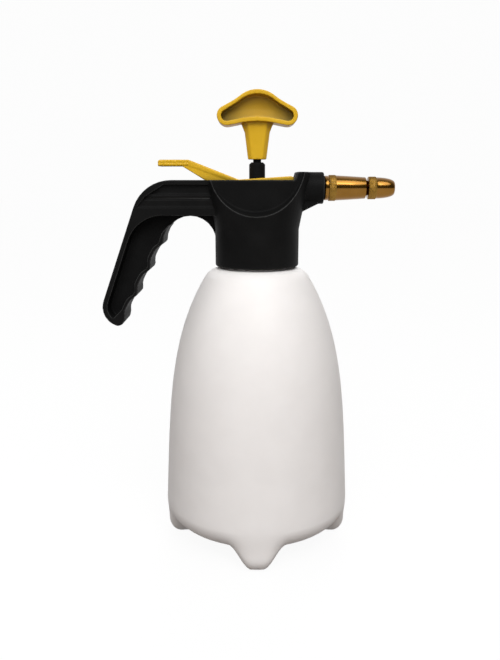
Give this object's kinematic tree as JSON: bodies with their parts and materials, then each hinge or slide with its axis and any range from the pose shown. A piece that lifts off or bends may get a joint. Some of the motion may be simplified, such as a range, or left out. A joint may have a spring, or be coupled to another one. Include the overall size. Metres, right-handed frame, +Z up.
{
  "type": "pump sprayer",
  "caption": "One-hand pressure sprayer: plastic tank on feet, screw-on head with finger grip, T-handle piston pump, thumb lever, spring-closed valve and turning brass spray tip.",
  "frame": {"origin": "on the floor, under the axis of tank and pump", "axes": "+Z up along the pump rod, +X along the nozzle, Y across the grip"},
  "size_m": [0.2067, 0.137, 0.3267],
  "materials": {
    "white_hdpe": "soft sheen, blow-moulded",
    "black_plastic": "fine spark-eroded texture",
    "yellow_plastic": "smooth moulded",
    "natural_plastic": "smooth moulded",
    "brass": "turned, with knurled bands",
    "steel": "drawn",
    "rubber": "moulded"
  },
  "bodies": {
    "tank": {"bottle": "white_hdpe"},
    "neck_seal": {"neck_gasket": "rubber"},
    "head": {"head_housing": "black_plastic", "pump_barrel": "natural_plastic", "barrel_gasket": "rubber", "barrel_cap": "black_plastic", "valve_cage": "natural_plastic", "dip_tube": "natural_plastic", "dip_strainer": "natural_plastic", "lever_pin": "steel", "stem_oring": "rubber", "spring_seat": "steel", "valve_spring": "steel", "nozzle_body": "brass", "nozzle_washer": "rubber", "spray_core": "brass"},
    "piston": {"piston": "natural_plastic", "piston_oring": "rubber"},
    "plunger": {"pump_rod": "black_plastic", "pump_handle": "yellow_plastic"},
    "lever": {"trigger_lever": "yellow_plastic"},
    "valve": {"valve_stem": "steel", "valve_seal": "rubber"},
    "tip_seal": {"tip_oring": "rubber"},
    "tip": {"nozzle_tip": "brass"},
    "check": {"check_disc": "rubber"}
  },
  "joints": [
    {"name": "head_lift", "type": "slide", "parent": "tank", "child": "neck_seal", "axis": [0, 0, 1], "range_m": [0, 0.006]},
    {"name": "head_unscrew", "type": "hinge", "parent": "neck_seal", "child": "head", "pos_m": [0, 0, 0.23], "axis": [0, 0, 1], "range_deg": [0, 540]},
    {"name": "pump_stroke", "type": "slide", "parent": "head", "child": "piston", "axis": [0, 0, 1], "range_m": [0, 0.08]},
    {"name": "handle_swivel", "type": "hinge", "parent": "piston", "child": "plunger", "pos_m": [0, 0, 0.28], "axis": [0, 0, 1], "continuous": true},
    {"name": "trigger_press", "type": "hinge", "parent": "head", "child": "lever", "pos_m": [0.022, 0, 0.252], "axis": [0, -1, 0], "range_deg": [0, 5], "stiffness_Nm_per_rad": 2, "springref_deg": -2.86, "deforming": ["valve_spring"]},
    {"name": "valve_pull", "type": "slide", "parent": "head", "child": "valve", "axis": [-1, 0, 0], "range_m": [0, 0.00083]},
    {"name": "tip_advance", "type": "slide", "parent": "head", "child": "tip_seal", "axis": [1, 0, 0], "range_m": [-0.00125, 0.0025]},
    {"name": "tip_turn", "type": "hinge", "parent": "tip_seal", "child": "tip", "pos_m": [0.085, 0, 0.2615], "axis": [1, 0, 0], "range_deg": [-360, 720]},
    {"name": "check_lift", "type": "slide", "parent": "head", "child": "check", "axis": [0, 0, -1], "range_m": [0, 0.0016]}
  ],
  "couplings": [
    {"joint": "head_lift", "follows": "head_unscrew", "m_per_rad": 0.00063662},
    {"joint": "valve_pull", "follows": "trigger_press", "m_per_rad": 0.0095},
    {"joint": "tip_advance", "follows": "tip_turn", "m_per_rad": 0.00019894}
  ]
}
